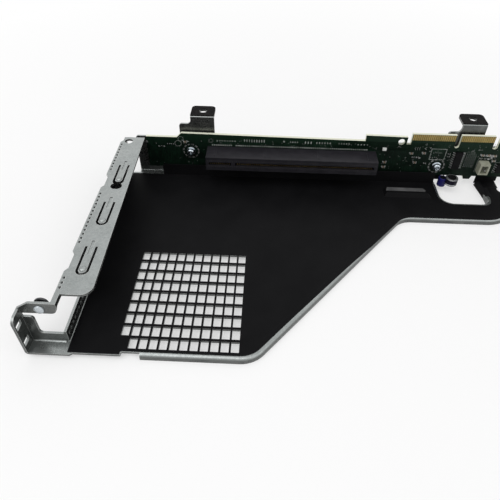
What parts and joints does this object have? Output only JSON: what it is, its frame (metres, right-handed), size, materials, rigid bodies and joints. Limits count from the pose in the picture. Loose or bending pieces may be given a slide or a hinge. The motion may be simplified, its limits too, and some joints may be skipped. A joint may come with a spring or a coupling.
{
  "type": "riser cage bracket",
  "caption": "Folded sheet-metal riser cage with a grilled plate, sprung top flange and slotted ear, carrying an upright riser board with a card slot.",
  "frame": {"origin": "centre of the overall box, at the rim's lower edge", "axes": "+X along the cage from the slotted ear to the board's right end, +Y from the plate's front edge towards the riser board, +Z from the plate up to the lugs"},
  "size_m": [0.2324, 0.1344, 0.0371],
  "materials": {
    "zinc_sheet": "bright zinc plating, faint streaks",
    "black_film": "black insulating film, slight sheen",
    "black_pad": "matte black pad",
    "green_board": "green solder mask",
    "gold_plating": "gold plate",
    "black_slot_plastic": "black moulded plastic",
    "solder_tin": "tinned metal",
    "steel_fixings": "plated steel",
    "ivory_plastic": "ivory moulded plastic",
    "chip_black": "moulded package",
    "blue_sleeve": "blue sleeve",
    "violet_sleeve": "violet sleeve",
    "white_lens": "pale lens",
    "ceramic_tan": "ceramic body"
  },
  "bodies": {
    "root": {"cage_frame": "zinc_sheet", "insulator_film": "black_film", "lug_pads": "black_pad", "riser_board": "green_board", "edge_contacts": "gold_plating", "slot_housing": "black_slot_plastic", "slot_contacts": "gold_plating", "board_screws": "steel_fixings", "board_spacers": "steel_fixings", "screw_pads": "solder_tin", "guide_pin": "steel_fixings", "power_header": "ivory_plastic", "header_pins": "solder_tin", "controller_chip": "chip_black", "controller_leads": "solder_tin", "driver_chip": "chip_black", "driver_leads": "solder_tin", "capacitor_small": "blue_sleeve", "capacitor_large": "violet_sleeve", "indicator": "white_lens", "ceramic_capacitors": "ceramic_tan", "chip_resistors": "chip_black"}
  },
  "joints": []
}
